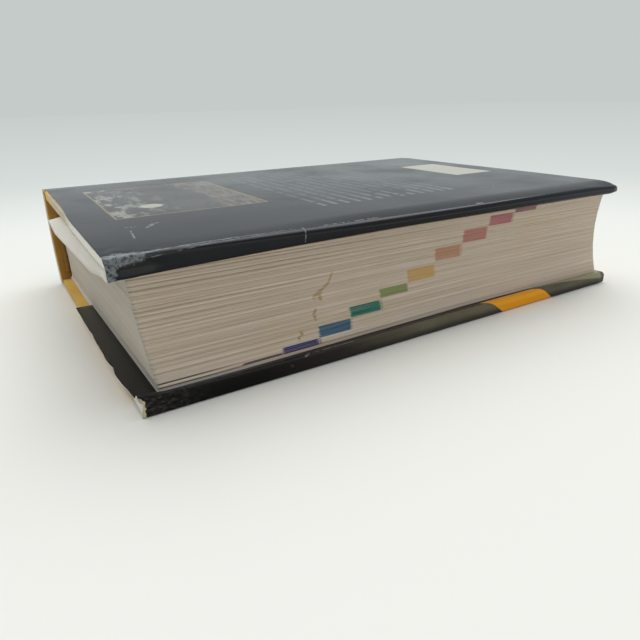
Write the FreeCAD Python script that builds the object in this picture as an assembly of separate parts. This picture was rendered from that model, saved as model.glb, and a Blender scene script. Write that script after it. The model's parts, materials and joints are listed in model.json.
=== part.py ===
import FreeCAD, Part
import os
from math import asin, copysign, degrees, sqrt

# A case-bound book in its paper dust jacket, lying on its front cover.
# Millimetres. +X runs from the head of the pages to the tail, +Y from the
# fore-edge to the spine and +Z up. The origin is on the table, under the
# middle of the closed book.

V = FreeCAD.Vector
X_AXIS = V(1, 0, 0)
Z_AXIS = V(0, 0, 1)

# Pages
page_length = 208.8     # head to tail
page_width = 144.9      # fore-edge to the backed shoulder
page_stack = 37.2       # thickness of the sewn block
round_sag = 3.7         # how far rounding hollows the fore-edge and swells the spine
shoulder_height = 2.2   # how far backing flares the outer sections over the boards
shoulder_width = 4.6    # the stretch of page over which they flare

# Case
board_thick = 3.0
head_square = 4.9       # covered board beyond the pages at the head
tail_square = 2.1       # at the tail
fore_square = 4.4       # and at the fore-edge
joint_width = 6.3       # from a board's spine edge to the pages' shoulder
hinge_back = 2.8        # from that shoulder to the line that a cover turns about
cloth = 0.4             # paper-covered cloth glued round the boards
turn_in = 15.0          # cloth folded over the edges of the boards and the spine strip
edge_round = 0.6        # on the cloth at a board's edges
endpaper = 0.2
endpaper_margin = 3.5   # turn-in left showing round a pastedown
groove_depth = 1.2      # how far the cloth dips in that joint
strip_thick = 1.0       # card that stiffens the case's spine
strip_short = 2.0       # strip's edge to the outside of the closed case

# Linings and bands on the spine
lining_thick = 0.5
lining_short = 6.0      # lining's end to the end of the pages
band_radius = 0.9
band_short = 2.8        # band's end to the shoulder

# Dust jacket
jacket = 0.3
jacket_over = 0.4       # jacket beyond the covered board at head and tail
flap_width = 95.0
fold_radius = 1.0       # jacket's fold round the fore-edge of a board
spine_fold = 1.5        # jacket's bend on to the spine
fold_slack = 0.5        # air between that fold and the covered edge

# Clearances
air = 0.1               # between sheets that are not glued together
glue = 0.05             # under a curved layer that is pasted down
hollow = 0.3            # between the lined spine and the case
split = 0.3             # each side of the line that a cover turns about
spine_drop = 0.3        # spine's faces below the covers', so that a cover lays back flat

# Levels through the front cover, upwards from the table
cloth_z = jacket + air
board_z = cloth_z + cloth
turn_z = board_z + board_thick
paste_z = turn_z + cloth
flap_z = paste_z + endpaper + air
page_z = flap_z + jacket + air
total_height = 2 * page_z + page_stack
mid_z = total_height / 2

# Places across the book, measured from the front of the jacket's folds
cloth_y = jacket + fold_slack
board_y = cloth_y + cloth
page_y = cloth_y + fore_square
shoulder_y = page_y + page_width
board_end_y = shoulder_y - joint_width
hinge_y = shoulder_y - hinge_back

# The spine's curved layers share one centre line
spine_half = page_stack / 2 + shoulder_height
spine_radius = (spine_half ** 2 + round_sag ** 2) / (2 * round_sag)
spine_centre_y = shoulder_y - sqrt(spine_radius ** 2 - spine_half ** 2)
lining_radius = spine_radius + glue
turn_in_radius = lining_radius + lining_thick + hollow
strip_radius = turn_in_radius + cloth + glue
spine_cloth_radius = strip_radius + strip_thick + glue + cloth
spine_jacket_radius = spine_cloth_radius + air + jacket
strip_half = mid_z - spine_drop - strip_short

# Places along the book
covered_length = page_length + head_square + tail_square
board_length = covered_length - 2 * cloth
jacket_length = covered_length + 2 * jacket_over
page_x = -covered_length / 2 + head_square
total_depth = spine_centre_y + spine_jacket_radius


def polygon_face(points):
    """A flat face in the YZ plane."""
    vectors = [V(0, y, z) for y, z in points]
    return Part.Face(Part.makePolygon(vectors + vectors[:1]))


def line(start, end):
    return Part.LineSegment(V(0, *start), V(0, *end)).toShape()


def arc(start, middle, end):
    return Part.Arc(V(0, *start), V(0, *middle), V(0, *end)).toShape()


def spine_point(radius, height):
    """The (y, z) of a point on a spine layer, at a height above the middle."""
    return spine_centre_y + sqrt(radius ** 2 - height ** 2), mid_z + height


def spine_arc(radius, half_height):
    """A spine layer's curve, from below upwards."""
    return arc(spine_point(radius, -half_height), spine_point(radius, 0), spine_point(radius, half_height))


def run(face, start_x, length):
    """Draw a section out along the book."""
    face.translate(V(start_x, 0, 0))
    return face.extrude(V(length, 0, 0))


def centred(face, length):
    return run(face, -length / 2, length)


def box(x, y, z):
    """A box from its (low, high) pairs."""
    size = [high - low for low, high in (x, y, z)]
    return Part.makeBox(*size, V(x[0], y[0], z[0]))


def between(outer, inner):
    """The section of a sheet, from the edges of its two sides, each in order."""
    outer, inner = Part.Wire(outer), Part.Wire(inner)
    caps = [
        Part.makeLine(outer.OrderedVertexes[end].Point, inner.OrderedVertexes[end].Point) for end in (0, -1)
    ]
    return Part.Face(Part.Wire(Part.__sortEdges__(outer.Edges + inner.Edges + caps)))


def curved_strip(inner_radius, thickness, half_height):
    """The section of a layer on the spine, the same thickness all over."""
    return between([spine_arc(inner_radius + thickness, half_height)], [spine_arc(inner_radius, half_height)])


def text_block():
    """Rounded and backed pages: hollow fore-edge, swelled spine, flared shoulders."""
    low, high = page_z, page_z + page_stack
    flare_y = shoulder_y - shoulder_width
    rise_y = shoulder_y - shoulder_width * 0.35
    rise = shoulder_height * 0.45
    low_tip = spine_point(spine_radius, -spine_half)
    high_tip = spine_point(spine_radius, spine_half)
    edges = [
        line((page_y, low), (flare_y, low)),
        arc((flare_y, low), (rise_y, low - rise), low_tip),
        spine_arc(spine_radius, spine_half),
        arc(high_tip, (rise_y, high + rise), (flare_y, high)),
        line((flare_y, high), (page_y, high)),
        arc((page_y, high), (page_y + round_sag, mid_z), (page_y, low)),
    ]
    return run(Part.Face(Part.Wire(edges)), page_x, page_length)


def spine_lining():
    """Mull and kraft paper glued over the sewn sections."""
    section = curved_strip(lining_radius, lining_thick, spine_half - shoulder_height)
    return run(section, page_x + lining_short, page_length - 2 * lining_short)


def page_end_band(x):
    """A cord-cored band on one end of the pages, bent to the spine's curve."""
    half_angle = degrees(asin((spine_half - band_short) / spine_radius))
    pivot = V(x, spine_centre_y, mid_z)
    core = pivot + V(0, spine_radius - band_radius, 0)
    disc = Part.Face(Part.Wire(Part.makeCircle(band_radius, core, Z_AXIS)))
    disc.rotate(pivot, X_AXIS, -half_angle)
    return disc.revolve(pivot, X_AXIS, 2 * half_angle)


def spine_strip():
    """Card inlay that stiffens the case's spine."""
    return centred(curved_strip(strip_radius, strip_thick, strip_half), board_length)


def board():
    return box((-board_length / 2, board_length / 2), (board_y, board_end_y), (board_z, turn_z))


def cover_cloth():
    """Cloth round one board: outside, three turned-in edges and half of the joint."""
    half = covered_length / 2
    skin = box((-half, half), (cloth_y, board_end_y), (cloth_z, paste_z))
    outer_edges = [edge for edge in skin.Edges if edge.BoundBox.YMin < board_end_y - cloth]
    skin = skin.makeFillet(edge_round, outer_edges)
    window = box(
        (-half + turn_in, half - turn_in), (cloth_y + turn_in, board_end_y), (turn_z, paste_z)
    )
    outer = cloth_z + groove_depth
    joint = polygon_face([
        (board_end_y, cloth_z),
        (hinge_y - split, outer),
        (hinge_y - split, outer + cloth),
        (board_end_y, board_z),
    ])
    return skin.cut([board(), window]).fuse(centred(joint, covered_length)).removeSplitter()


def pastedown():
    """Endpaper leaf glued down over the turn-ins, pressed on to the board between them."""
    half = board_length / 2 - endpaper_margin
    leaf = box((-half, half), (board_y + endpaper_margin, board_end_y), (paste_z, paste_z + endpaper))
    inner_half = covered_length / 2 - turn_in
    pressed = box((-inner_half, inner_half), (cloth_y + turn_in, board_end_y), (turn_z, paste_z))
    return leaf.fuse(pressed).removeSplitter()


def fold_path(inset):
    """One side of the jacket over a cover: panel, fore-edge fold and flap."""
    r = fold_radius - inset
    knee = r * (1 - sqrt(0.5))
    front, low, high = inset, inset, flap_z + jacket - inset
    return [
        line((hinge_y - split, low), (front + r, low)),
        arc((front + r, low), (front + knee, low + knee), (front, low + r)),
        line((front, low + r), (front, high - r)),
        arc((front, high - r), (front + knee, high - knee), (front + r, high)),
        line((front + r, high), (flap_width, high)),
    ]


def cover_jacket():
    """Jacket panel over one cover, folded round the fore-edge into a flap."""
    return centred(between(fold_path(0), fold_path(jacket)), jacket_length)


def spine_path(radius, level, joint_z, bend):
    """One side of a sheet, from one joint round the spine to the other."""
    half_arc = mid_z - level - bend
    low, high = level, total_height - level
    low_end = spine_point(radius, -half_arc)
    high_end = spine_point(radius, half_arc)
    knee = bend * (1 - sqrt(0.5))
    knee_y = low_end[0] - knee
    flat_y = low_end[0] - bend
    near_y = hinge_y + split
    return [
        line((near_y, joint_z), (flat_y, low)),
        arc((flat_y, low), (knee_y, low + knee), low_end),
        spine_arc(radius, half_arc),
        arc(high_end, (knee_y, high - knee), (flat_y, high)),
        line((flat_y, high), (near_y, total_height - joint_z)),
    ]


def spine_sheet(radius, level, joint_z, thickness, bend):
    """The section of a sheet that wraps the spine, from its outer side's radius and levels."""
    outer = spine_path(radius, level, joint_z, bend)
    inner = spine_path(radius - thickness, level + thickness, joint_z + thickness, bend - thickness)
    return between(outer, inner)


def spine_cloth():
    """Cloth over the spine strip, turned in at its ends and dipping into the joint at each side."""
    level = spine_drop + jacket + air
    bend = spine_fold - jacket - air
    section = spine_sheet(spine_cloth_radius, level, cloth_z + groove_depth, cloth, bend)
    wrap_depth = spine_cloth_radius - turn_in_radius
    sheet = centred(section, covered_length)
    for end in (-covered_length / 2, covered_length / 2):
        wrap = run(curved_strip(turn_in_radius, wrap_depth, strip_half), end, -copysign(cloth, end))
        turned = run(curved_strip(turn_in_radius, cloth, strip_half), end, -copysign(turn_in, end))
        sheet = sheet.fuse([wrap, turned])
    return sheet.removeSplitter()


def spine_jacket():
    section = spine_sheet(spine_jacket_radius, spine_drop, spine_drop, jacket, spine_fold)
    return centred(section, jacket_length)


def upper(shape):
    """The same piece on the back cover, which mirrors the front one."""
    return shape.mirror(V(0, 0, mid_z), Z_AXIS)


pieces = {
    "text_block": text_block(),
    "spine_lining": spine_lining(),
    "headband": page_end_band(page_x - band_radius - glue),
    "tailband": page_end_band(page_x + page_length + band_radius + glue),
    "spine_strip": spine_strip(),
    "spine_cloth": spine_cloth(),
    "jacket_spine": spine_jacket(),
}

for side, place in (("front", lambda shape: shape), ("back", upper)):
    pieces[side + "_board"] = place(board())
    pieces[side + "_cloth"] = place(cover_cloth())
    pieces[side + "_pastedown"] = place(pastedown())
    pieces["jacket_" + side] = place(cover_jacket())

os.makedirs("parts", exist_ok=True)
for name, shape in pieces.items():
    shape.translate(V(0, -total_depth / 2, 0))
    shape.exportStep("parts/" + name + ".step")
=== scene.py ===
"""Looks of a used hardback in its dust jacket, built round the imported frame.

Lengths are millimetres up to settle(), which turns them into the row frame's metres. Pieces are
drawn in the book's own coordinates: along from the jacket's head edge, across from the front of
its fore-edge folds, and up from the table. Both covers are drawn as the lower one, and the upper
one is its mirror.
"""
import json
import math
import random
from functools import partialmethod

import bpy
import numpy as np
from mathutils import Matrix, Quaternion, Vector, noise


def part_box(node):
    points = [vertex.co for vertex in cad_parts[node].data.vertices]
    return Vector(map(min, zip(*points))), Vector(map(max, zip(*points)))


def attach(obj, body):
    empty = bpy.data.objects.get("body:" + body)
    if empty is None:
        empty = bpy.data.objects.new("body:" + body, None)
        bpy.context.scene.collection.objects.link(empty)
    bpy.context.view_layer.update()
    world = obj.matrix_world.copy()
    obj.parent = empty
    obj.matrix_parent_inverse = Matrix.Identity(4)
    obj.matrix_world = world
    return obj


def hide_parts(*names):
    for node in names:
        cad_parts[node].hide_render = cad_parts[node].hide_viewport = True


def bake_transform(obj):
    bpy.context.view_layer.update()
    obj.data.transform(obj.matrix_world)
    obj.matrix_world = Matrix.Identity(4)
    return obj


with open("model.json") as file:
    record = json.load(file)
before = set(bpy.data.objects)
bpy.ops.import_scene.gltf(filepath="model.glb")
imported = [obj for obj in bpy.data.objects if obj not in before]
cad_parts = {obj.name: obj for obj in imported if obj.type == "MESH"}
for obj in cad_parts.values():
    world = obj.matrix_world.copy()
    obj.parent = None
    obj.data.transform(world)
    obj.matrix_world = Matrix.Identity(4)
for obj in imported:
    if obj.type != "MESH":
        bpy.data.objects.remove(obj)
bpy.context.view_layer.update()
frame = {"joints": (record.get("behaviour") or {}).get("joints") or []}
MM = 0.001

# ---------------- places, from the frame
ORIGIN = Vector((*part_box("jacket_back")[0].xy, 0.0))


def from_row(place):
    """A place in the row frame, in the book's coordinates."""
    return (Vector(place) - ORIGIN) / MM


def to_row(place):
    """A place in the book's coordinates, in the row frame."""
    return ORIGIN + Vector(place) * MM


def span(node):
    """A node's lowest and highest corners, in the book's coordinates."""
    return [from_row(corner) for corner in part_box(node)]


JACKET = span("jacket_front")
CLOTH = span("front_cloth")
BOARD = span("front_board")
LEAF = span("front_pastedown")
PAGES = span("text_block")
LENGTH = JACKET[1].x
THICKNESS = span("jacket_back")[1].z
MIDDLE = THICKNESS / 2
HINGE = {joint["child"]: from_row(joint["pos_m"]) for joint in frame["joints"]}
HINGE_Y = HINGE["back_cover"].y
FLAP_UP = JACKET[1].z              # printed side of a flap above its cover's outside
PAGE_GAP = 0.1                     # air between a flap and the pages
STACK_LOW = FLAP_UP + PAGE_GAP
STACK = THICKNESS - 2 * STACK_LOW  # thickness of the pages away from the spine

SAG = 3.7  # swell of the spine and hollow of the fore-edge
SHOULDER_Y = PAGES[1].y - SAG
SHOULDER_WIDTH = 4.6
SHOULDER_RISE = STACK_LOW - PAGES[0].z
HALF_SPINE = MIDDLE - PAGES[0].z
SPINE_RADIUS = (HALF_SPINE ** 2 + SAG ** 2) / (2 * SAG)
SPINE_CENTRE = PAGES[1].y - SPINE_RADIUS

# The old book has settled askew: its upper cover lies turned and shifted on the lower one
TURN = math.radians(-1.25)
SHIFT = Vector((-1.5, 0.6)) * MM


def settle(points):
    """Points of the book in the row frame, turned and shifted with their height."""
    points = np.asarray(points, float)
    share = points[:, 2] / THICKNESS
    x, y, z = (points * MM + np.array(ORIGIN)).T
    cos, sin = np.cos(TURN * share), np.sin(TURN * share)
    return np.stack([x * cos - y * sin + SHIFT.x * share,
                     x * sin + y * cos + SHIFT.y * share, z], axis=-1)


# ---------------- numbers
def spread(low, high, step):
    """Evenly spaced numbers from low to high, about a step apart."""
    count = max(1, round((high - low) / step))
    return [low + (high - low) * i / count for i in range(count + 1)]


def smooth(value, low, high):
    """A smooth step from 0 to 1 while a value goes from low to high."""
    share = min(1.0, max(0.0, (value - low) / (high - low)))
    return share * share * (3 - 2 * share)


def bell(value, centre, width):
    """1 at a centre, falling away on both sides of it."""
    return math.exp(-((value - centre) / width) ** 2)


def rough(x, y=0.0, z=0.0):
    """Smooth noise from -1 to 1."""
    return noise.noise(Vector((x, y, z)))


# ---------------- meshes
def thicken(points, faces, thickness, inner_slot=0):
    """A closed sheet from its outer side, with a slot for its inside and its cut edges."""
    points = np.asarray(points, float)
    quads = np.array(faces)
    corners = points[quads]
    face_normals = np.cross(corners[:, 2] - corners[:, 0], corners[:, 3] - corners[:, 1])
    normals = np.zeros_like(points)
    np.add.at(normals, quads, face_normals[:, None])
    normals /= np.maximum(np.linalg.norm(normals, axis=1, keepdims=True), 1e-12)
    count = len(points)
    edges = {(face[i - 1], face[i]) for face in faces for i in range(4)}
    rims = [(b, a, a + count, b + count) for a, b in sorted(edges) if (b, a) not in edges]
    inside = [tuple(count + v for v in reversed(face)) for face in faces]
    both = np.concatenate([points, points - normals * thickness])
    slots = [0] * len(faces) + [inner_slot] * (len(inside) + len(rims))
    return both, list(faces) + inside + rims, slots


def grid_faces(rows, columns, flip=False):
    """Quads over points that are numbered row by row."""
    firsts = [i * columns + j for i in range(rows - 1) for j in range(columns - 1)]
    faces = [(a, a + columns, a + columns + 1, a + 1) for a in firsts]
    return [face[::-1] for face in faces] if flip else faces


def lattice(rows, place, keep=lambda side, x, y: 0):
    """The outside of a box of grid points, as points, faces and slots, and its grid places.

    rows are the grid's places along x, y and z, and place moves a grid point to where it belongs.
    keep gives a face's slot, or None to leave it out; sides run from "x0" and "x1" to "z1".
    """
    index, faces, slots = {}, [], []
    for fixed in range(3):
        first, second = (fixed + 1) % 3, (fixed + 2) % 3
        for end in (0, 1):
            for i in range(len(rows[first]) - 1):
                for j in range(len(rows[second]) - 1):
                    spots = []
                    for di, dj in ((0, 0), (1, 0), (1, 1), (0, 1)):
                        spot = [rows[fixed][-end]] * 3
                        spot[first], spot[second] = rows[first][i + di], rows[second][j + dj]
                        spots.append(tuple(spot))
                    x, y = (sum(spot[axis] for spot in spots) / 4 for axis in (0, 1))
                    slot = keep("xyz"[fixed] + str(end), x, y)
                    if slot is None:
                        continue
                    face = tuple(index.setdefault(spot, len(index)) for spot in spots)
                    faces.append(face if end else face[::-1])
                    slots.append(slot)
    return ([place(*spot) for spot in index], faces, slots), list(index)


def add_object(name, data):
    obj = bpy.data.objects.new(name, data)
    bpy.context.scene.collection.objects.link(obj)
    return obj


def piece(name, body, node, slot, shape, materials, bend=None, **places):
    """A finished piece of points, faces and slots; the back cover's are turned over to lie on top.

    bend is the stretch across, from and to, over which it was to give way to the pages' body; its
    numbers are not used, and a piece given a bend is not attached to its body but has its place
    baked into its mesh. places holds three numbers for each vertex, which materials read by name.
    """
    points, faces, slots = shape
    points = np.array(points, float)
    if body == "back_cover":
        points[:, 2] = THICKNESS - points[:, 2]
        faces = [face[::-1] for face in faces]
    mesh = bpy.data.meshes.new(name)
    mesh.from_pydata(settle(points).tolist(), [], faces)
    mesh.update()
    for material in materials:
        mesh.materials.append(material)
    mesh.polygons.foreach_set("material_index", slots)
    mesh.polygons.foreach_set("use_smooth", [True] * len(faces))
    for key, vectors in places.items():
        attribute = mesh.attributes.new(key, "FLOAT_VECTOR", "POINT")
        attribute.data.foreach_set("vector", np.asarray(vectors, np.float32).ravel())
    obj = add_object(name, mesh)
    if bend:
        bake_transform(obj)
    else:
        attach(obj, body)
    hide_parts(node)


# ---------------- materials
def srgb(*levels):
    """A colour given in display values from 0 to 255, as the shader's linear one."""
    shares = [level / 255 for level in levels]
    return (*(c / 12.92 if c <= 0.04045 else ((c + 0.055) / 1.055) ** 2.4 for c in shares), 1.0)


class Nodes:
    """Builds a node tree from short expressions. Vectors are in millimetres."""

    def __init__(self, tree):
        self.tree = tree
        tree.nodes.clear()

    def node(self, kind, **settings):
        node = self.tree.nodes.new("ShaderNode" + kind)
        for key, value in settings.items():
            setattr(node, key, value)
        return node

    def put(self, socket, value):
        if isinstance(value, bpy.types.NodeSocket):
            self.tree.links.new(value, socket)
        else:
            socket.default_value = value

    def feed(self, node, *values, **named):
        """Set or link a node's inputs, in order or by name, and give its outputs."""
        for socket, value in zip(node.inputs, values):
            self.put(socket, value)
        for key, value in named.items():
            self.put(node.inputs[key.replace("_", " ")], value)
        return node.outputs

    def math(self, operation, *values):
        return self.feed(self.node("Math", operation=operation), *values)[0]

    def chain(self, operation, first, *others):
        for other in others:
            first = self.math(operation, first, other)
        return first

    times = partialmethod(chain, "MULTIPLY")
    plus = partialmethod(chain, "ADD")
    minus = partialmethod(chain, "SUBTRACT")
    over = partialmethod(chain, "DIVIDE")
    most = partialmethod(chain, "MAXIMUM")
    least = partialmethod(chain, "MINIMUM")

    def vector(self, operation, *values, output=0, **named):
        return self.feed(self.node("VectorMath", operation=operation), *values, **named)[output]

    def scaled(self, vector, *factors):
        return self.vector("MULTIPLY", vector, factors)

    def length(self, vector):
        return self.vector("LENGTH", vector, output=1)

    def attribute(self, name):
        return self.node("Attribute", attribute_name=name).outputs["Vector"]

    def place(self):
        return self.scaled(self.node("TexCoord").outputs["Object"], *[1 / MM] * 3)

    def ray(self, kind):
        return self.node("LightPath").outputs["Is %s Ray" % kind]

    def split(self, vector):
        return self.feed(self.node("SeparateXYZ"), vector)

    def join(self, x, y=0.0, z=0.0):
        return self.feed(self.node("CombineXYZ"), x, y, z)[0]

    def noise(self, vector, scale, detail=3.0, roughness=0.55):
        """Noise from 0 to 1. Its scale is per metre, and may be one for each of x, y and z."""
        if isinstance(scale, tuple):
            vector, scale = self.scaled(vector, *scale), 1.0
        return self.feed(self.node("TexNoise"), Vector=vector, Scale=scale * MM, Detail=detail,
                         Roughness=roughness)["Fac"]

    def ramp(self, value, low, high, to_low=0.0, to_high=1.0, kind="LINEAR"):
        """From one value to another while the input goes from low to high."""
        return self.feed(self.node("MapRange", interpolation_type=kind), Value=value, From_Min=low,
                         From_Max=high, To_Min=to_low, To_Max=to_high)["Result"]

    def ease(self, *numbers):
        """The same in a smooth step."""
        return self.ramp(*numbers, kind="SMOOTHSTEP")

    def fall(self, value, low, high, to_high=0.0):
        """A smooth step down from 1."""
        return self.ease(value, low, high, 1.0, to_high)

    def within(self, value, low, high, soft):
        """1 where the input lies between low and high, with soft ends."""
        rise = self.ease(value, low - soft, low + soft)
        return self.times(rise, self.fall(value, high - soft, high + soft))

    def patch(self, x, y, low, high, soft):
        """1 inside a rectangle from one corner to another."""
        return self.times(self.within(x, low[0], high[0], soft),
                          self.within(y, low[1], high[1], soft))

    def blot(self, flat, centre, size, ragged=0.0):
        """1 inside an ellipse, fading out at its edge."""
        offset = self.vector("SUBTRACT", flat, (*centre, 0.0))
        distance = self.length(self.scaled(offset, 1 / size[0], 1 / size[1], 0.0))
        if ragged:
            distance = self.plus(distance, self.times(self.noise(flat, 900.0), ragged))
        return self.fall(distance, 0.75 + ragged * 0.5, 1.0 + ragged * 0.5)

    def stroke(self, flat, start, end, width):
        """1 along a straight line between two flat places, fading out over its width."""
        start, end = Vector((*start, 0)), Vector((*end, 0))
        way = end - start
        offset = self.vector("SUBTRACT", self.scaled(flat, 1.0, 1.0, 0.0), tuple(start))
        dot = self.vector("DOT_PRODUCT", offset, tuple(way / way.length_squared), output=1)
        share = self.least(self.most(dot, 0.0), 1.0)
        nearest = self.vector("SCALE", tuple(way), Scale=share)
        distance = self.length(self.vector("SUBTRACT", offset, nearest))
        return self.fall(distance, 0.25 * width, 0.75 * width)

    def mix(self, share, first, second):
        """A blend of two colours; tuples are display values from 0 to 255."""
        node = self.node("Mix", data_type="RGBA")
        for socket, value in zip((0, 6, 7), (share, first, second)):
            self.put(node.inputs[socket], srgb(*value) if isinstance(value, tuple) else value)
        return node.outputs[2]

    def paint(self, base, *layers):
        """A colour with others laid over it in turn; layers are (share, colour)."""
        for share, colour in layers:
            base = self.mix(share, base, colour)
        return base

    def mix_shaders(self, share, first, second):
        return self.feed(self.node("MixShader"), share, first, second)[0]

    def steps(self, value, colours):
        """A colour for each of the equal stretches of the input from 0 to 1."""
        node = self.node("ValToRGB")
        node.color_ramp.interpolation = "CONSTANT"
        elements = node.color_ramp.elements
        for number, colour in enumerate(colours):
            start = number / len(colours)
            stop = elements[number] if number < 2 else elements.new(start)
            stop.position, stop.color = start, colour
        return self.feed(node, value)[0]

    def bump(self, height, distance, strength=1.0, **under):
        return self.feed(self.node("Bump"), Strength=strength, Distance=distance * MM,
                         Height=height, **under)[0]


class Shader(Nodes):
    """One material with a principled surface."""

    def __init__(self, name, **values):
        self.material = bpy.data.materials.new(name)
        self.material.use_nodes = True
        super().__init__(self.material.node_tree)
        self.surface = self.node("BsdfPrincipled")
        self.output = self.node("OutputMaterial").inputs["Surface"]
        self.put(self.output, self.surface.outputs[0])
        self.set(**values)

    def set(self, **values):
        self.feed(self.surface, **values)


# Index marks on the fore-edge, from head to tail: ink, and lowest and highest level
INDEX_MARKS = [
    ((78, 58, 92), 6.0, 6.6),
    ((50, 52, 108), 5.9, 7.9),
    ((54, 100, 128), 7.9, 11.4),
    ((34, 116, 102), 11.7, 15.3),
    ((136, 150, 92), 15.9, 19.0),
    ((204, 166, 104), 19.1, 23.9),
    ((188, 142, 112), 25.05, 30.1),
    ((180, 124, 112), 30.4, 35.6),
    ((172, 108, 110), 35.5, 39.8),
    ((134, 88, 96), 39.4, 41.2),
]
INDEX_START = 33.0
INDEX_RUN = 13.78 * len(INDEX_MARKS)
INDEX_BOW = 2.2     # the marks' spacing bows by this at mid-run
INDEX_FILL = 0.965  # share of its step that a mark takes up
INDEX_RAGGED = 5.0  # how far leaves carry a mark's ends to and fro
LEVEL_UNIT = 100.0  # the level that is 1 in a grey ramp

# Ochre stain on the fore-edge: strokes from and to, along and up, and their widths
STAIN = [((71.8, 29.0), (69.8, 25.6), 0.8), ((69.8, 25.6), (66.2, 23.0), 1.0),
         ((66.2, 23.0), (63.5, 21.4), 1.6), ((65.2, 22.4), (65.6, 20.8), 1.6),
         ((63.0, 17.2), (61.9, 15.8), 1.0), ((62.1, 15.2), (62.1, 14.2), 1.1),
         ((55.6, 11.0), (55.5, 10.4), 1.2), ((54.4, 9.8), (54.2, 9.2), 1.1)]


def leaf_colour(s, page, fine):
    """Cream leaves in lighter and darker groups, greyer outermost; painted shade greys the head and
    darkens the two lowest joints near the head corner and the upper leaves under the upper cover,
    and a painted highlight brightens the ridge between those joints.
    """
    along, across, up = s.split(page)
    groups = s.noise(page, (7, 7, 1150), 2)
    patches = s.ease(s.noise(page, 38), 0.45, 0.8, 0, 0.35)
    foot = s.minus(up, STACK_LOW)
    outer = s.fall(s.least(foot, s.minus(STACK_LOW + STACK, up)), 0.35, 0.5)
    by_corner = s.times(s.fall(along, 14, 40), s.fall(across, 8, 30))
    # painted highlight: the section between the two lowest joints lies forward and is lit brighter
    # near the head corner
    ridge = s.within(foot, 1.2, 1.9, 0.1)
    # painted shade in the two lowest joints between sections, near the head corner
    grooves = [s.within(foot, level - 0.18, level + 0.18, 0.08) for level in (1, 2.1)]
    # painted shade: the leaves' head face greyer and a little darker
    head = s.fall(along, PAGES[0].x, PAGES[0].x + 1)
    # painted shade under the upper cover: darker towards the top of the stack, most over the head
    # half
    overhang_shade = s.times(s.ease(up, 12, 40, 0, 0.22), s.fall(along, 120, 190, 0.3))
    return s.paint(
        s.mix(s.ease(groups, 0.32, 0.68), (210, 193, 172), (228, 214, 197)),
        (s.ease(fine, 0.3, 0.6, 0.34, 0), (126, 106, 84)),
        (patches, (205, 182, 146)),
        (s.times(outer, s.fall(along, 20, 60, 0.15)), (224, 225, 224)),
        (s.times(ridge, by_corner, 0.6), (236, 230, 214)),
        *((s.times(groove, by_corner, 0.9), (92, 58, 44)) for groove in grooves),
        (s.times(head, 0.45), (184, 188, 178)),
        (overhang_shade, (150, 136, 120)))


def index_marks(s, page):
    """Where the index marks lie on the fore-edge, and their inks."""
    along, _, up = s.split(page)
    ragged = s.noise(page, (0, 0, 4400), 2)
    lean = s.fall(up, STACK_LOW, STACK_LOW + 8)
    shifted = s.plus(along, s.times(lean, 0.8), s.times(s.minus(ragged, 0.5), INDEX_RAGGED))
    straight = s.over(s.minus(shifted, INDEX_START), INDEX_RUN)
    bow = s.times(straight, s.minus(1, straight), 4 * INDEX_BOW / INDEX_RUN)
    number = s.minus(straight, bow)

    def level(which):
        greys = [(mark[which] / LEVEL_UNIT,) * 3 + (1,) for mark in INDEX_MARKS]
        return s.times(s.steps(number, greys), LEVEL_UNIT)

    inks = s.steps(number, [srgb(*mark[0]) for mark in INDEX_MARKS])
    part = s.math("FRACT", s.times(number, float(len(INDEX_MARKS))))
    streaks = s.noise(page, (45, 0, 4600), 2)
    marked = s.times(s.math("GREATER_THAN", up, level(1)), s.math("LESS_THAN", up, level(2)),
                     s.within(number, 0, 1, 0.001), s.math("LESS_THAN", part, INDEX_FILL),
                     s.ease(streaks, 0.3, 0.62, 0.75, 1))
    return marked, inks


def page_edges():
    """Cut edges of hundreds of leaves, with index marks and a stain on the fore-edge."""
    s = Shader("page_edges", Roughness=0.85, Specular_IOR_Level=0.2)
    page = s.attribute("page")
    along, across, up = s.split(page)
    fine = s.noise(page, (14, 14, 5200), 2)
    front = s.math("LESS_THAN", across, 0.5)
    marked, inks = index_marks(s, page)
    stain = s.most(*(s.stroke(s.join(along, up), *stroke) for stroke in STAIN))
    leaves = s.ease(s.noise(page, (260, 0, 2400), 2), 0.36, 0.54)
    colour = s.paint(leaf_colour(s, page, fine), (s.times(marked, front), inks),
                     (s.times(stain, front, leaves, 0.72), (160, 132, 66)))
    s.set(Base_Color=colour, Normal=s.bump(fine, 0.10, 0.8))
    return s.material


def plain_paper(name, light, dark):
    """Uncoated paper or board with soft clouds and a fibre."""
    s = Shader(name, Roughness=0.75, Specular_IOR_Level=0.3)
    place = s.place()
    fibre = s.noise(place, (900, 2200, 2200), 4)
    s.set(Base_Color=s.mix(s.ease(s.noise(place, 70), 0.3, 0.75), light, dark),
          Normal=s.bump(fibre, 0.03, 0.6))
    return s.material


BLACK = (17, 16, 16)
WORN_CREAM = (205, 192, 160)

PICTURE = ((13.7, 50), (71.5, 126))  # on the back panel: along and across, from and to
FRAME_WIDTH = 0.7
ROW_START = 83                       # broken pale rows beside the picture
ROW_PITCH = 5.2
ROWS = 13


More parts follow.
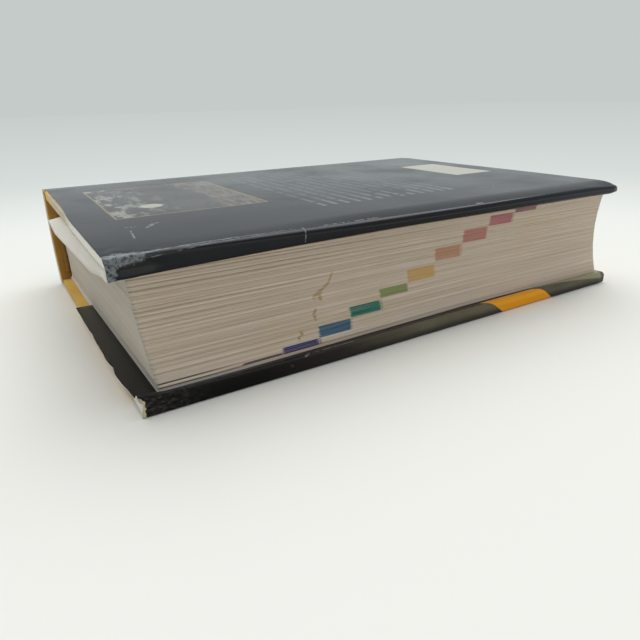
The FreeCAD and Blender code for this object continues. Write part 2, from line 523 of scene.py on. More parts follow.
def landscape(s, along, flat):
    """A plain view of two ridges of hills under a low disc and torn clouds."""
    mottled = s.noise(flat, 420, 4, 0.7)
    torn = s.noise(flat, (190, 75, 0), 4, 0.65)
    sky = s.paint(
        s.mix(s.ease(mottled, 0.3, 0.7), (40, 40, 45), (66, 64, 66)),
        (s.times(s.ease(torn, 0.48, 0.60), s.fall(along, 16, 38, 0.25), 0.85), (160, 164, 152)),
        (s.blot(flat, (31, 70), (5, 5)), (188, 190, 170)))
    slope = s.mix(s.ease(mottled, 0.35, 0.65), (52, 52, 56), (78, 76, 76))
    streaks = s.ease(s.noise(flat, (520, 110, 0), 4, 0.7), 0.35, 0.65)
    field = s.mix(streaks, (70, 64, 60), (124, 118, 106))

    def below(height, scale, rise):
        skyline = s.plus(height, s.times(s.noise(flat, (0, scale, 0), 4), rise))
        return s.ease(s.minus(along, skyline), -0.3, 0.3)

    return s.paint(sky, (below(30, 42, 18), slope), (below(44, 19, 22), field))


def fold_wear(s, flat, along, across):
    """Rubbed lines along the upper jacket's fold, with painted highlights on them and a painted
    grey sheen between them, and its crushed corner.
    """
    wander = s.times(s.minus(s.noise(flat, (60, 0, 0)), 0.5), 1.6)
    lie = s.plus(across, wander, s.ease(along, 10, 30, 0, -1.6))
    broken = s.noise(flat, (240, 1500, 0), 5, 0.7)
    broken = s.ease(s.minus(broken, s.ease(along, 30, 80, 0.50, 0.74)), -0.06, 0.05)
    # the fold's two edges: rubbed paper with a painted highlight on it
    lines = s.most(s.within(lie, -0.6, 0.2, 0.25),
                   s.times(s.within(lie, -2.2, -1.9, 0.15), 0.55))
    # painted grey sheen on the fold between its edges, in patches
    patchy = s.ease(s.noise(flat, (120, 900, 0), 4), 0.35, 0.65)
    grey_sheen = s.times(s.within(lie, -2.1, -0.3, 0.3), patchy, 0.14)
    lines = s.times(s.most(s.times(lines, broken), grey_sheen), s.fall(along, 54, 62))
    thin = s.times(s.within(lie, -1.2, -0.8, 0.1),
                   s.patch(along, across, (66, -3), (88, 2), 1.5),
                   s.ease(s.noise(flat, 700, 4), 0.42, 0.52))
    specks = s.ease(s.noise(flat, (800, 2400, 0), 2), 0.60, 0.66)
    specks = s.times(specks, s.within(lie, -1.4, 0.1, 0.2), s.within(along, 20, 58, 5))
    corner = s.most(s.blot(flat, (3, -1), (9.5, 3), 0.8),
                    s.blot(flat, (0.8, -4), (2.2, 4.5), 0.8))
    corner = s.times(corner, s.ease(s.noise(flat, 650, 5, 0.75), 0.40, 0.58, 0.2, 1))
    return s.most(s.times(lines, 0.85), s.times(thin, 0.9), s.times(corner, 0.65), specks)


# Scratches on the back panel: from and to, along and across, and their widths
SCRATCHES = [((19.5, 30.8), (22.5, 34.2), 0.9), ((21.5, 34.8), (24.6, 36.4), 0.8),
             ((13.6, 34.4), (17.4, 33.9), 0.6), ((13.8, 27.8), (12.6, 17.5), 0.6),
             ((133.6, 0.6), (136, 0), 1), ((164, 22), (167, 24), 0.5)]


def broken_rows(s, along, across):
    """Rows of broken bars where the book's back panel has its text."""
    row = s.over(s.minus(along, ROW_START), ROW_PITCH)
    number, part = s.math("FLOOR", row), s.math("FRACT", row)
    words = s.noise(s.join(s.times(number, 3700), s.times(across, 230)), 1, 1)
    ends = s.times(s.noise(s.join(s.times(number, 5300)), 1, 0), 26)
    bars = s.times(s.within(part, 0.18, 0.5, 0.06), s.within(row, 0, ROWS, 0.01),
                   s.ease(words, 0.40, 0.47), s.within(across, 28.6, 128, 0.2),
                   s.math("LESS_THAN", across, s.minus(134, ends)))
    short = s.patch(along, across, (145.4, 28), (147, 36), 0.3)
    return s.times(s.most(bars, s.times(short, 0.5)), s.ease(across, 29, 52, 0.5, 0.2))


def back_print(s, flat):
    """Back panel: a gold-framed landscape, rows of broken bars and a bare label; painted shade
    darkens its fold, flap and a dent, and painted highlights go with the rubbing on the fold.
    """
    along, across, _ = s.split(flat)
    low, high = PICTURE
    inside = s.patch(along, across, [c + FRAME_WIDTH for c in low],
                     [c - FRAME_WIDTH for c in high], 0.1)
    # painted shade: the fold and flap near black, most over the head half
    fold_shade = s.times(s.ease(across, -1.5, 0, 0.8, 0), s.fall(along, 120, 190, 0.1))
    scratches = s.times(s.most(*(s.stroke(flat, *scratch) for scratch in SCRATCHES)),
                        s.ease(s.noise(flat, 900), 0.4, 0.55), 0.8)
    upright = s.times(s.stroke(flat, (60, 1.6), (58.9, -4.6), 0.4),
                      s.ease(s.noise(flat, 800), 0.35, 0.6), 0.6)
    # rubbed paper and scratches, together with the fold's painted highlights and sheen
    rubbed = s.most(fold_wear(s, flat, along, across), scratches, upright)
    # painted shade in the dent near the head corner of the fold
    dent = s.blot(flat, (8.5, -4.2), (5.5, 1.7), 0.6)
    tail = s.blot(flat, (LENGTH, -2.5), (1.6, 4), 0.8)
    colour = s.paint(
        s.mix(s.ease(s.noise(flat, 30), 0.35, 0.7), (19, 23, 32), (23, 28, 38)),
        (s.patch(along, across, low, high, 0.1), (150, 130, 84)),
        (inside, landscape(s, along, flat)),
        (broken_rows(s, along, across), (160, 168, 166)),
        (s.patch(along, across, (181, 62), (204.5, 108), 0.3), (198, 196, 178)),
        (fold_shade, (12, 12, 14)),
        (rubbed, (150, 158, 160)),
        (s.times(dent, 0.65), (34, 34, 30)),
        (s.times(tail, 0.85), (84, 70, 58)))
    return colour, rubbed


def front_print(s, flat):
    """Front panel: black, with a slanting band of orange, a painted sheen on its fold, and an olive
    field at the fold which is a painted reflection of the pages.
    """
    along, across, _ = s.split(flat)
    on_fold = s.within(across, -7, 2, 0.5)
    # painted sheen: olive on the fold's upper part, from along 66 on
    sheen = s.ease(s.noise(flat, 26, 4), 0.3, 0.7, 0.5, 1)
    sheen = s.times(sheen, on_fold, s.ease(along, 66, 100), s.fall(across, -4, -1.5, 0.25))
    lean = s.minus(along, s.times(across, 1.25))
    band = s.times(s.within(lean, 149, 180, 0.25), s.ease(across, -9, -8.6))
    # painted reflection of the pages: olive on the flap beyond the orange band, near the tail
    slanted = s.minus(across, s.times(s.minus(along, 175), 0.13))
    field = s.times(s.ease(lean, 182, 183), s.fall(slanted, -8.6, -8.1))

    speck = s.noise(flat, (420, 900, 0), 4, 0.7)
    scuffs = s.times(s.fall(along, 0, 26), s.ease(speck, 0.4, 0.8), s.within(across, -7, 0.5, 1))
    crease = s.times(s.within(across, -6.95, -6.65, 0.1), s.within(along, 58, 75, 3),
                     s.ease(speck, 0.42, 0.52))
    smudges = s.most(s.stroke(flat, (54.4, -5.8), (56.6, -6.9), 0.8),
                     s.times(s.stroke(flat, (48.6, -4.2), (49.2, -3.4), 0.6), 0.4))
    smudges = s.times(smudges, s.ease(s.noise(flat, 500, 4), 0.3, 0.6))
    rubbed = s.most(s.times(scuffs, 0.2), s.times(crease, 0.7), s.times(smudges, 0.45))
    tail = s.blot(flat, (LENGTH, -3), (3.6, 6), 0.8)
    ragged = s.times(s.minus(s.noise(flat, 900, 4), 0.5), 1.8)
    wedge = s.minus(along, s.times(s.plus(across, 7.5), 0.16))
    torn = s.times(s.fall(s.plus(wedge, ragged), 0, 0.25), s.within(across, -7.5, 1.5, 0.2))
    colour = s.paint(
        BLACK,
        # painted sheen: the fold browner from along 30 on
        (s.times(on_fold, s.ease(along, 30, 75)), (48, 43, 40)),
        (sheen, (112, 106, 87)),
        (band, (246, 168, 30)),
        (field, (150, 148, 116)),
        (rubbed, (176, 168, 156)),
        (s.times(tail, 0.8), (92, 66, 52)),
        (torn, WORN_CREAM))
    return colour, s.most(rubbed, torn)


def spine_print(s, flat):
    return s.mix(s.ease(s.noise(flat, 40), 0.35, 0.7), BLACK, (28, 27, 29)), 0


def coated_print(name, colour_of, specular=0.5):
    """Glossy jacket paper: its print, and its scuffs, which bare the paper and dull the gloss; the
    painted highlights marked with them are paler and dulled too.
    """
    s = Shader(name, Specular_IOR_Level=specular)
    flat = s.attribute("flat")
    colour, scuffs_and_highlights = colour_of(s, flat)
    smudge = s.noise(flat, 28, 5, 0.6)
    gloss = s.plus(s.ease(smudge, 0.3, 0.75, 0.13, 0.24), s.times(scuffs_and_highlights, 0.4))
    waves = s.bump(smudge, 0.25, 0.2)
    s.set(Base_Color=colour, Roughness=gloss,
          Normal=s.bump(s.noise(flat, 1100), 0.02, 0.25, Normal=waves))
    return s.material


def covering(name, roughness):
    """A case covering's shader with its fine grain."""
    s = Shader(name, Roughness=roughness)
    s.set(Normal=s.bump(s.noise(s.place(), 2600, 2), 0.05, 0.6))
    return s, s.attribute("flat")


def case_covering(side):
    """Yellow covering of a cover; its corners and the upper cover's head edge are rubbed."""
    s, flat = covering(side + "_case_covering", 0.55)
    back = side == "back"
    along, across, _ = s.split(flat)
    yellow = s.mix(s.ease(s.noise(flat, 40), 0.3, 0.7), (238, 194, 92), (224, 176, 70))
    ragged = s.times(s.noise(flat, 420, 4), 1.6)
    edge = s.fall(s.minus(along, ragged), 0, 0.5)
    edge = s.times(edge, s.fall(across, 124, 134), 1 if back else 0)
    reach = 3.4 if back else 11
    from_end = s.least(along, s.minus(LENGTH, along))
    corner = s.fall(s.plus(across, from_end, ragged), reach, reach + 1.2)
    cream = s.mix(s.ease(across, 60, 80), (244, 241, 230), WORN_CREAM)
    rubbed = s.mix(s.ease(along, 195, 200), cream, (96, 80, 64))
    s.set(Base_Color=s.mix(s.most(edge, corner), yellow, rubbed))
    return s.material


def spine_covering():
    """The same covering on the spine; what lies turned in is darker, as painted shade."""
    s, flat = covering("spine_covering", 0.6)
    inset = s.split(flat)[2]
    cloud = s.ease(s.noise(flat, 60), 0.3, 0.7)
    yellow = s.mix(cloud, (214, 166, 62), (196, 146, 44))
    # painted shade on the turned-in inner face
    inner = s.mix(cloud, (184, 134, 36), (164, 114, 26))
    s.set(Base_Color=s.mix(s.ease(inset, 0.9, 1.4), yellow, inner))
    return s.material


PRINT = {"back": coated_print("jacket_back_print", back_print),
         "front": coated_print("jacket_front_print", front_print, 0.26),
         "spine": coated_print("jacket_spine_print", spine_print)}
REVERSE = plain_paper("jacket_reverse", (230, 226, 215), (222, 217, 204))
CASE = {"front": case_covering("front"), "back": case_covering("back"), "spine": spine_covering()}
EDGES = page_edges()
ENDPAPER = plain_paper("endpaper", (229, 229, 226), (225, 224, 220))
GREY_BOARD = plain_paper("binders_board", (160, 152, 140), (140, 132, 120))
KRAFT = plain_paper("kraft", (172, 142, 104), (158, 128, 92))
BAND = plain_paper("band_thread", (150, 112, 52), (124, 90, 42))

# ---------------- pages
rng = random.Random(7)


def section_levels():
    """Heights in the stack of the joints between sections, from its foot to its top."""
    levels = [0.0, 1.0, 2.1]
    while levels[-1] < STACK - 2.2:
        levels.append(levels[-1] + rng.uniform(1.1, 2.1))
    return levels + [STACK]


JOINTS = section_levels()
GROOVES = [rng.uniform(0.18, 0.55) for _ in JOINTS]
STEPS = [rng.uniform(-0.24, 0.24) for _ in JOINTS]


def mesh_levels():
    """Levels for the mesh: one at each joint, one close to it at each side, and more between."""
    levels = []
    for low, high in zip(JOINTS, JOINTS[1:]):
        levels += [low] + spread(low + 0.13, high - 0.13, 0.22)
    return levels + [JOINTS[-1]]


LEVELS = mesh_levels()
JITTER = {level: rng.uniform(-1, 1) * 0.05 for level in LEVELS}


def hollow(level, sag=SAG):
    """Depth of the round form at a level: none at the outer leaves, the full sag between."""
    share = 2 * level / STACK - 1
    return sag * (1 - share * share)


def section_at(level):
    """Which section a level lies in."""
    return sum(level > joint for joint in JOINTS[1:-1])


def fore_edge_inset(along, level):
    """How far a leaf's fore-edge stands in: grooves between sections, steps and waves."""
    number = section_at(level)
    low, high = JOINTS[number], JOINTS[number + 1]
    fade = 1.0 - 0.7 * smooth(along, 0.1 * LENGTH, 0.75 * LENGTH)
    fade *= 0.85 + 0.5 * rough(along * 0.04, number * 3.7)
    near = min(level - low, high - level) if 0 < level < STACK else 1.0
    groove = GROOVES[number] * max(0, 1 - near / 0.15)
    swell = 0.48 * (level - low) * (high - level) / (high - low) ** 2
    wave = rough(along * 0.022, level * 0.26, 9) * 0.10
    return fade * (groove + STEPS[number] - swell) + JITTER[level] + wave


def shoulder(across, level):
    """How far backing lifts or lowers a leaf near the spine."""
    into = max(0, (across - (SHOULDER_Y - SHOULDER_WIDTH)) / SHOULDER_WIDTH)
    share = 2 * level / STACK - 1
    return SHOULDER_RISE * into ** 1.6 * share ** 5


def askew(along, across, level):
    """How far the pages have crept over the lower cover: along and across."""
    creep = (1 - level / STACK) * max(0, 1 - across / 100)
    on = 1.5 - 1.2 * (along / LENGTH) ** 2
    out = 1.8 * (1 - bell(along, 136, 55))
    return creep * on, -creep * out


def build_pages():
    low, high = PAGES
    xs = spread(low.x, high.x, 1.9)
    width = SHOULDER_Y - low.y
    ys = [0.0, 0.4, 1.2, 3] + spread(6, width - 9, 11) + spread(width - 6, width, 1)

    def place(along, across, level):
        inset = fore_edge_inset(along, level) if across == 0 else 0.0
        sag = SAG * (1 - 0.3 * smooth(along, 0.3 * LENGTH, LENGTH))
        fore = low.y + hollow(level, sag) + inset
        back = SHOULDER_Y + hollow(level)
        place_y = fore + across / width * (back - fore)
        end = 0.0
        if along in (xs[0], xs[-1]):
            end = JITTER[level] * 1.4 + 0.35 * STEPS[section_at(level)]
            end += 0.3 * smooth(level, 1, 0.2)
        up = STACK_LOW + level + shoulder(low.y + across, level)
        crept = askew(along, place_y, level)
        return along + (end if along == xs[-1] else -end) + crept[0], place_y + crept[1], up

    shape, raw = lattice((xs, ys, LEVELS), place, lambda side, x, y: int(side[0] == "z"))
    piece("text_block", "book_block", "text_block", "pages", shape, [EDGES, ENDPAPER],
          page=np.array(raw) + [0, 0, STACK_LOW])


# ---------------- jacket
PAPER = 0.25       # thickness of the jacket
FLAP_END = 95.0
SPINE_DROP = 0.3   # the spine's faces below the covers'
SPINE_BEND = 1.5   # jacket's bend on to the spine
FOLD_DEPTH = 7.5   # sheet used up by the fold, about
ROLL_REACH = 10.0  # how far in a cover's outside is rolled off


def spine_point(crown, height):
    """Across and up on a spine layer, from its outermost place and a height above the middle."""
    radius = crown - SPINE_CENTRE
    return SPINE_CENTRE + math.sqrt(radius ** 2 - height ** 2), MIDDLE + height


def spine_arc(crown, half, step):
    """A spine layer's line between two heights, half below and half above the middle."""
    radius = crown - SPINE_CENTRE
    reach = math.asin(half / radius)
    return [spine_point(crown, radius * math.sin(a)) for a in spread(-reach, reach, step)]


JACKET_CROWN = span("jacket_spine")[1].y
SPINE_FOLD_Y = spine_point(JACKET_CROWN, MIDDLE - SPINE_DROP - SPINE_BEND)[0] - SPINE_BEND
PANEL_ROWS = (spread(0, 5, 0.5) + spread(6, 12, 1) + spread(14, SPINE_FOLD_Y - 10, 2.5)
              + spread(SPINE_FOLD_Y - 8.5, SPINE_FOLD_Y, 0.5))
FLAP_ROWS = spread(1, 8, 1) + spread(10.5, FLAP_END, 2.5)


def fold_shape(side, along):
    """Bend radii at a fold's outside and at its flap, its height, and the roll before it."""
    if side == "front":
        crushed = math.exp(-along / 14)
        soft = smooth(along, 60, 150)
        return 0.9, 0.7 + 1.1 * soft, FLAP_UP + 0.4 + 2.1 * crushed, 0.0
    soft = smooth(along, 10, 110)
    height = FLAP_UP + 2.0 * math.exp(-along / 40)
    roll = 0.08 + 0.57 * soft + 0.7 * smooth(along, LENGTH - 20, LENGTH)
    radius = min(1.0 + 1.2 * soft, (height - roll) / 2 - 0.1)
    return radius, radius, height, roll


def roll_drop(side, along, across):
    """How far a cover's outside sinks towards the fore-edge."""
    return fold_shape(side, along)[3] * (1 - min(1, across / ROLL_REACH)) ** 2


def jacket_section(side, along):
    """Across and up along a cover's jacket, from the spine to the flap's end, and flat places."""
    outer, inner, height, roll = fold_shape(side, along)
    line = []
    for across in reversed(PANEL_ROWS):
        start = max(0, 1 - across / SPINE_FOLD_Y)
        drop = SPINE_DROP * smooth(across, HINGE_Y - 2, HINGE_Y + 2)
        line.append((across + outer * start, roll_drop(side, along, across) + drop, across))
    turns = spread(0, math.pi / 2, math.radians(15))[1:]
    flat = 0.0
    for turn in turns:
        flat -= outer * turns[0]
        line.append((outer * (1 - math.sin(turn)), roll + outer * (1 - math.cos(turn)), flat))
    low, high = roll + outer, height - inner
    for share in (0.25, 0.5, 0.75, 1.0):
        flat -= (high - low) / 4
        line.append((0.0, low + (high - low) * share, flat))
    for turn in turns:
        flat -= inner * turns[0]
        line.append((inner * (1 - math.cos(turn)), high + inner * math.sin(turn), flat))
    for across in FLAP_ROWS:
        ease = smooth(across, 0, 4)
        line.append((inner + across, height + (FLAP_UP - height) * ease, flat - across))
    return line


def shape_back(along, across, up, flat):
    """Wear of the upper jacket: its flap askew and drooping, its worn corner and edges."""
    if flat < -FOLD_DEPTH:
        turned = 4.0 * min(1, (-flat - FOLD_DEPTH) / FLAP_END)
        along -= turned
        hanging = max(0, (CLOTH[0].x - along) / (CLOTH[0].x + turned))
        depth = 4.0 * (0.25 + 0.75 * smooth(across, -2, 26)) * (1 - 0.85 * smooth(across, 82, 99))
        up += depth * hanging ** 0.8 * smooth(-flat, FOLD_DEPTH, FOLD_DEPTH + 4)
    elif flat > 0:
        along += 1.2 * (1 - smooth(along, 0, 25)) * smooth(across, 55, 95)
    crushed = math.exp(-along / 7) * math.exp(-abs(flat + 2.5) / 4)
    dent = bell(along, 8, 5) * bell(flat, -4.2, 1.3)
    spot = (along * 0.3, flat * 0.3)
    along += crushed * (0.4 + 1.4 * rough(*spot, 1))
    across += crushed * (0.4 + 1.4 * rough(*spot, 2)) + 0.4 * dent
    up += crushed * 1.1 * rough(*spot, 3)
    return round_tail(along, across, up, flat)


def round_tail(along, across, up, flat):
    """The folds' worn corners at the tail, pulled in round."""
    worn = smooth(along, LENGTH - 5, LENGTH) * bell(max(0, flat), 0, 3)
    if flat < -FOLD_DEPTH:
        worn *= bell(flat, -FOLD_DEPTH, 3)
    crushed = 0.25 * worn if flat < -FOLD_DEPTH / 2 else 0.0
    return along - 0.5 * worn ** 2, across + 0.5 * worn ** 2, up - crushed


def shape_front(along, across, up, flat):
    """Wear of the lower jacket: its flap stands out beyond the cover, and is nicked."""
    if flat < 0:
        nicks = bell(across, 28, 2.4) + 0.5 * bell(across, 61, 4)
        out = 1.5 + 0.25 * rough(across * 0.15, 4) - 0.5 * nicks
        out *= smooth(-flat, FOLD_DEPTH - 1.5, FOLD_DEPTH + 24)
        torn = smooth(-flat, 1.5, 5) * (1 - smooth(-flat, FOLD_DEPTH - 1.5, FOLD_DEPTH))
        along -= (1 - smooth(along, 0, 20)) * (out - 1.1 * torn)
    along += 1.2 * smooth(along, LENGTH - 25, LENGTH) * (1 - smooth(across, 0, 60))
    return round_tail(along, across, up, flat)


def build_cover_jacket(side):
    back = side == "back"
    shape = shape_back if back else shape_front
    xs = spread(0, 16, 0.5) + spread(17, 30, 1) + spread(32, LENGTH - 6, 2.2)
    xs += spread(LENGTH - 4, LENGTH, 1)
    points, flats = [], []
    for along in xs:
        for across, up, flat in jacket_section(side, along):
            ripple = 0.10 * rough(along * 0.026, across * 0.026, 2 if back else 5)
            if flat < -FOLD_DEPTH:
                ripple = 0
            elif not back:
                ripple = max(0, ripple)
            x, y, z = shape(along, across, up, flat)
            points.append((x, y, z + ripple))
            flats.append((along, flat, 0.0))
    faces = grid_faces(len(xs), len(points) // len(xs))
    node = "jacket_" + side
    piece(node + "_sheet", side + "_cover", node, node + "_paper",
          thicken(points, faces, PAPER, 1), [PRINT[side], REVERSE],
          bend=(HINGE_Y - 1.5, HINGE_Y + 1.5), flat=flats + flats)


def spine_line(crown, level, bend, *joint):
    """Across and up along a sheet round the spine, from the lower joint to the upper one."""
    height = MIDDLE - level - bend
    y_bend = spine_point(crown, height)[0] - bend
    lower = [*joint] + [(y_bend + bend * math.sin(a), level + bend * (1 - math.cos(a)))
                        for a in spread(0, math.radians(75), math.radians(15))]
    upper = [(y, THICKNESS - z) for y, z in reversed(lower)]
    return lower + spine_arc(crown, height, 0.018) + upper


def build_spine_sheet(name, node, line, xs, thickness, materials, slot):
    """A sheet round the spine. xs are (along, how far inside the outer side) pairs."""
    line = np.array(line)
    way = np.gradient(line, axis=0)
    way /= np.linalg.norm(way, axis=1, keepdims=True)
    inward = np.stack([-way[:, 1], way[:, 0]], axis=1)
    run = np.concatenate([[0.0], np.cumsum(np.linalg.norm(np.diff(line, axis=0), axis=1))])
    points, flats = [], []
    for along, inset in xs:
        for (y, z), distance in zip(line + inward * inset, run):
            points.append((along, y, z))
            flats.append((along, distance, inset))
    faces = grid_faces(len(xs), len(line), flip=True)
    piece(name, "book_block", node, slot, thicken(points, faces, thickness, 1), materials,
          flat=flats + flats)


def build_spine_jacket():
    xs = [(along, 0.0) for along in spread(0, LENGTH, 3)]
    line = spine_line(JACKET_CROWN, SPINE_DROP, SPINE_BEND)
    build_spine_sheet("jacket_spine_sheet", "jacket_spine", line, xs, PAPER,
                      [PRINT["spine"], REVERSE], "jacket_spine_paper")


# ---------------- case
SKIN = 0.4               # covering material of the case
SKIN_DRAWN = SKIN * 0.9  # drawn a little thinner, clear of its neighbours
LEAF_DRAWN = 0.18        # and so is a pastedown
LEAF_SUNK = 0.36         # how far it is pressed in between the turn-ins
TURN_IN = 15.0
STRIP_CARD = 1.0
EDGE_ROUND = 0.8
BOARD_ROUND = 0.4
INNER_EDGE = 0.5         # the covering's inner edges are nearly square
GROOVE = 1.2             # how far the covering dips into the joint


def rounded(spot, low, high, radius):
    """A point on a box, moved on to the same box with rounded edges."""
    inner = Vector([min(max(c, lo + radius), hi - radius) for c, lo, hi in zip(spot, low, high)])
    off = Vector(spot) - inner
    return inner + off.normalized() * radius if off.length > 1e-6 else inner


def edge_rows(low, high, step, radius, high_end=True):
    """Grid rows from low to high, closer where the edges are rounded."""
    close = [0.0, 0.3 * radius, 0.65 * radius]
    rows = [low + c for c in close]
    rows += spread(low + radius, high - radius if high_end else high, step)
    return rows + ([high - c for c in reversed(close)] if high_end else [])


def cover_wear(side, spot, low, high):
    """How far a place on a cover is moved: outside rolled off, fore-edge corners knocked in."""
    along, across, up = spot
    lift = roll_drop(side, along, across) * (1 - (up - low.z) / (high.z - low.z))
    head = math.exp(-(along + across) / 5) if side == "back" else 0.0
    tail = math.exp(-(LENGTH - along + across) / 5)
    return Vector((head - tail, head + tail, lift))


def build_cloth(side):
    low, high = CLOTH
    board_end = BOARD[1].y
    xs = edge_rows(low.x, high.x, 3.3, EDGE_ROUND)
    xs = sorted(xs + [low.x + TURN_IN, high.x - TURN_IN])
    ys = edge_rows(low.y, board_end, 3.3, EDGE_ROUND, high_end=False)
    ys = sorted(ys + [low.y + TURN_IN] + spread(board_end + 0.5, HINGE_Y + 0.6, 0.5))
    zs = edge_rows(low.z, high.z, 1.0, EDGE_ROUND)
    box_high = Vector((high.x, board_end + 9, high.z + INNER_EDGE))

    def keep(side_name, x, y):
        if side_name == "z0":
            return 0
        if y > board_end or side_name == "y1":
            return None
        in_window = low.x + TURN_IN < x < high.x - TURN_IN and y > low.y + TURN_IN
        return None if side_name == "z1" and in_window else 0

    def place(*spot):
        there = rounded(spot, low, box_high, EDGE_ROUND)
        there.z = min(there.z, high.z) + GROOVE * smooth(spot[1], board_end, HINGE_Y - 0.5)
        return there + cover_wear(side, spot, low, high)

    (points, faces, _), raw = lattice((xs, ys, zs), place, keep)
    piece(side + "_case_covering", side + "_cover", side + "_cloth", "case_covering",
          thicken(points, faces, SKIN_DRAWN), [CASE[side]],
          bend=(HINGE_Y - 1.2, HINGE_Y + 0.6), flat=raw + raw)


def build_board(side):
    low, high = BOARD
    rows = [edge_rows(*ends, step, BOARD_ROUND) for *ends, step in zip(low, high, (12, 12, 1))]

    def place(*spot):
        return rounded(spot, low, high, BOARD_ROUND) + cover_wear(side, spot, low, high)

    piece(side + "_binders_board", side + "_cover", side + "_board", "binders_board",
          lattice(rows, place)[0], [GREY_BOARD])


def build_pastedown(side):
    """Endpaper on a cover: pressed in between the turn-ins, and bent across the joint."""
    low, high = LEAF
    xs, ys = spread(low.x, high.x, 2.4), spread(low.y, high.y, 2.4)
    across_joint = [(1.6, -0.06), (3.2, -0.3), (4.4, -0.7), (5.4, -1.15)]
    points = []
    for x in xs:
        edge_x = min(x - CLOTH[0].x, CLOTH[1].x - x)
        for y in ys:
            inside = min(edge_x, y - CLOTH[0].y)
            points.append((x, y, high.z - LEAF_SUNK * smooth(inside, TURN_IN - 0.4, TURN_IN + 1.2)))
        sunk = points[-1][2]
        points += [(x, high.y + out, sunk + rise) for out, rise in across_joint]
    faces = grid_faces(len(xs), len(ys) + len(across_joint))
    piece(side + "_pasted_leaf", side + "_cover", side + "_pastedown", "endpaper",
          thicken(points, faces, LEAF_DRAWN), [ENDPAPER], bend=(high.y, HINGE_Y + 1.2))


def build_spine_cloth():
    low, high = span("spine_cloth")
    line = spine_line(high.y, low.z, 1.1, (HINGE_Y + 0.6, CLOTH[0].z + GROOVE))
    inset = SKIN + STRIP_CARD + 0.1
    turn = [(low.x + 0.7 * (1 - math.sin(a)), (1 - math.cos(a)) / 2 * inset)
            for a in spread(0, math.pi, math.pi / 8)]
    head = [(low.x + TURN_IN, inset), (low.x + 8, inset)] + turn[::-1]
    tail = [(LENGTH - along, deep) for along, deep in reversed(head)]
    middle = [(along, 0.0) for along in spread(low.x + 4, high.x - 4, 6)]
    build_spine_sheet("spine_covering", "spine_cloth", line, head + middle + tail, SKIN_DRAWN,
                      [CASE["spine"]] * 2, "case_covering")


def build_strip(name, node, material, slot, thickness):
    """A layer that follows the spine: the card in the case, or the lining on the pages."""
    low, high = span(node)
    line = spine_arc(high.y, MIDDLE - low.z, 0.03)
    xs = [(along, 0.0) for along in spread(low.x, high.x, 8)]
    build_spine_sheet(name, node, line, xs, thickness, [material] * 2, slot)


def build_band(node):
    """A headband: a cord wound round with thread, bent to the spine's curve."""
    low, high = span(node)
    radius = (high.x - low.x) / 2
    crown = high.y - radius
    reach = math.asin((MIDDLE - low.z - radius * 0.5) / (crown - SPINE_CENTRE))
    angles = spread(-reach, reach, 0.006)
    around = spread(0, 2 * math.pi, math.pi / 6)[:-1]
    points = []
    for number, angle in enumerate(angles):
        ridge = radius * (1.0 if number % 2 else 0.86)
        if number in (0, len(angles) - 1):
            ridge = radius * 0.3
        for turn in around:
            out = crown - SPINE_CENTRE + ridge * math.cos(turn)
            points.append((low.x + radius + ridge * math.sin(turn),
                           SPINE_CENTRE + out * math.cos(angle), MIDDLE + out * math.sin(angle)))
    ring = len(around)
    faces = [(i + j, i + (j + 1) % ring, i + (j + 1) % ring + ring, i + j + ring)
             for i in range(0, len(points) - ring, ring) for j in range(ring)]
    faces += [tuple(reversed(range(ring))), tuple(range(len(points) - ring, len(points)))]
    piece(node + "_thread", "book_block", node, "band", (points, faces, [0] * len(faces)), [BAND])


# ---------------- build
build_pages()
for cover in ("front", "back"):
    for build in (build_cover_jacket, build_cloth, build_board, build_pastedown):
        build(cover)
build_spine_jacket()
build_spine_cloth()
build_strip("spine_card", "spine_strip", GREY_BOARD, "strip_card", STRIP_CARD * 0.9)
build_strip("spine_kraft", "spine_lining", KRAFT, "kraft_lining", 0.45)
for band in ("headband", "tailband"):
    build_band(band)


# ---------------- stage
BACKDROP = (197, 203, 201)


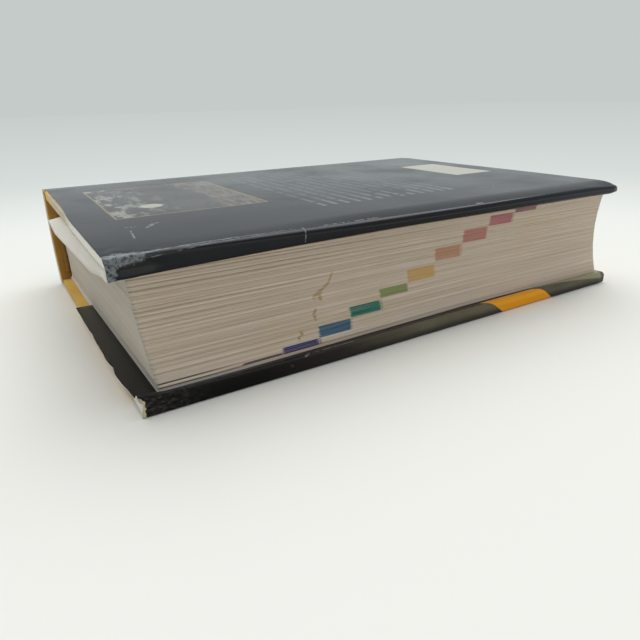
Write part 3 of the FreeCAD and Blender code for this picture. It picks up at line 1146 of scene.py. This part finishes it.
def build_floor():
    """A pale table that fades into the backdrop, and looks darker in the gloss of the jacket."""
    mesh = bpy.data.meshes.new("floor")
    far = 6.0
    mesh.from_pydata([(-far, -far, 0), (far, -far, 0), (far, far, 0), (-far, far, 0)], [],
                     [(0, 1, 2, 3)])
    floor = add_object("floor", mesh)
    s = Shader("pale_floor", Roughness=0.9)
    glossy = s.ray("Glossy")
    s.set(Base_Color=s.mix(s.times(glossy, 0.7), (240, 240, 233), (60, 62, 62)))
    below_camera = tuple(to_row((-26.0, -141.0, 0.0)) / MM)
    distance = s.length(s.vector("SUBTRACT", s.place(), below_camera))
    nearness = s.least(s.over(420.0, distance), 1.0)
    far_colour = s.mix(nearness, BACKDROP, (227, 233, 230))
    fade = s.feed(s.node("Emission"), Color=far_colour)[0]
    seen = s.most(s.ray("Camera"), glossy, s.ray("Transmission"))
    share = s.times(s.ease(distance, 220, 750), seen)
    s.put(s.output, s.mix_shaders(share, s.surface.outputs[0], fade))
    floor.data.materials.append(s.material)


def build_world():
    """Soft light from all round: brighter from behind, and dimmer higher up in the gloss."""
    world = bpy.data.worlds.new("studio")
    bpy.context.scene.world = world
    world.use_nodes = True
    s = Nodes(world.node_tree)
    way = s.node("TexCoord").outputs["Generated"]
    toward = s.vector("DOT_PRODUCT", way, (0.45, 0.75, 0.2), output=1)
    light, gleam, seen = (
        s.feed(s.node("Background"), colour, strength)[0] for colour, strength in (
            ((0.98, 1.0, 1.03, 1.0), s.ramp(toward, -0.9, 0.9, 0.36, 0.70)),
            ((0.96, 1.03, 1.04, 1.0), s.ramp(s.split(way)[2], 0.10, 0.23, 0.60, 0.29)),
            (srgb(*BACKDROP), 1.0)))
    lit = s.mix_shaders(s.ray("Glossy"), light, gleam)
    s.feed(s.node("OutputWorld"), s.mix_shaders(s.ray("Camera"), lit, seen))


def build_lamp():
    lamp = bpy.data.lights.new("overhead", "AREA")
    lamp.shape = "SQUARE"
    lamp.size = 2.3
    lamp.energy = 25.0
    obj = add_object("overhead", lamp)
    obj.location = (0.32, 0.5, 1.55)
    obj.rotation_euler = obj.location.to_track_quat("Z", "Y").to_euler()


def build_camera():
    """The photo's view, as fitted to the book's corners and edges."""
    camera = bpy.data.cameras.new("camera")
    camera.sensor_width = 36.0
    camera.lens = 30.885
    camera.clip_start = 0.01
    obj = add_object("camera", camera)
    obj.location = to_row((-26.2, -141.65, 83.1))
    yaw, pitch, roll = map(math.radians, (31.18, 21.80, -1.39))
    level = math.cos(pitch)
    forward = Vector((math.sin(yaw) * level, math.cos(yaw) * level, -math.sin(pitch)))
    look = forward.to_track_quat("-Z", "Y") @ Quaternion((0, 0, 1), roll)
    obj.rotation_euler = look.to_euler()
    bpy.context.scene.camera = obj


build_floor()
build_world()
build_lamp()
build_camera()
bpy.context.scene.view_settings.view_transform = "Standard"
